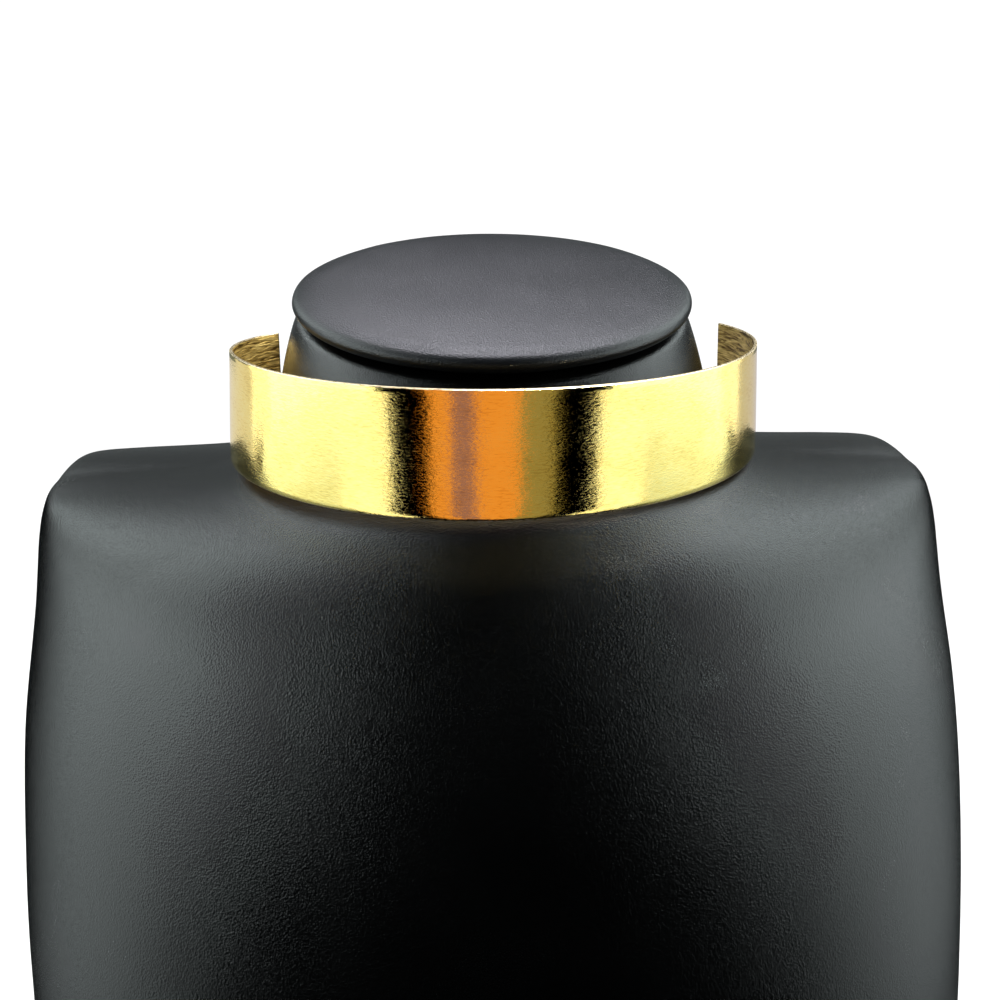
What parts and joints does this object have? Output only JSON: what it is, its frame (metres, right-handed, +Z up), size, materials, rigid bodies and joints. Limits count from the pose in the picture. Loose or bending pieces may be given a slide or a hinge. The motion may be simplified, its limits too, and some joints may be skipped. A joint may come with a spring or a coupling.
{
  "type": "collar choker necklace on a neck bust stand",
  "caption": "Rigid open gold-tone band collar worn round the neck, held on a plain black padded neck bust with an oval top pad and a flat base",
  "frame": {"origin": "middle of the flat base that the bust stands on", "axes": "+Z up through the neck, -Y towards the chest and the collar's front, +Y towards the flat back, +X to the bust's left shoulder as a wearer's"},
  "size_m": [0.2348, 0.12, 0.2303],
  "materials": {
    "collar_metal": "gold-tone sheet, brushed and lightly stippled outside, hammered inside",
    "bust_leatherette": "black fine-grained leatherette, soft satin"
  },
  "bodies": {
    "root": {"collar_band": "collar_metal", "bust_body": "bust_leatherette", "bust_cap": "bust_leatherette"}
  },
  "joints": []
}
